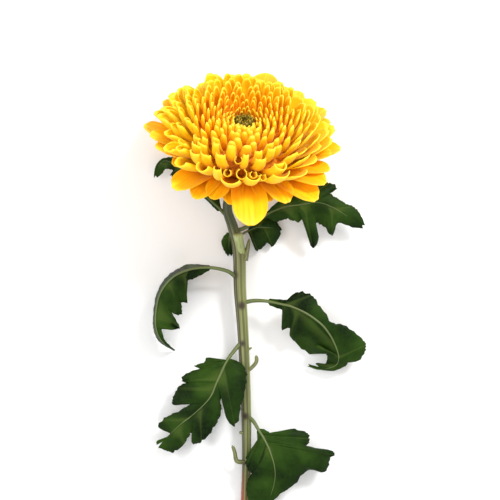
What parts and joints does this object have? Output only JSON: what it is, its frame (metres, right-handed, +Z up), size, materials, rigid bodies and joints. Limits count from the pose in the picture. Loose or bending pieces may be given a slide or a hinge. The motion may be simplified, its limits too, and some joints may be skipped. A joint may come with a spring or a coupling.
{
  "type": "cut cremon chrysanthemum",
  "caption": "Cut chrysanthemum lying down: a domed yellow bloom of incurving florets on a ridged green stem with lobed leaves, its lowest petals pressed on the surface.",
  "frame": {"origin": "middle of the part's box, at the level of the surface that the flower lies on", "axes": "+Z up from the surface, +Y along the stem from its cut end to the bloom, +X to the right of the stem as seen from above with the bloom ahead"},
  "size_m": [0.1331, 0.3059, 0.0885],
  "materials": {
    "petals": "soft velvety yellow petal, orange in the folds",
    "eye": "dull olive, close unopened florets",
    "calyx": "matt green bracts with pale edges",
    "stem": "ridged, matt light and dark green",
    "leaves": "dark green, soft sheen, pale veins"
  },
  "bodies": {
    "root": {"petals": "petals", "eye": "eye", "calyx": "calyx", "stem": "stem", "leaf_top_right": "leaves", "leaf_top_left": "leaves", "leaf_top_back": "leaves", "leaf_top_small": "leaves", "leaf_mid_left": "leaves", "leaf_mid_right": "leaves", "leaf_low_left": "leaves", "leaf_low_right": "leaves"}
  },
  "joints": []
}
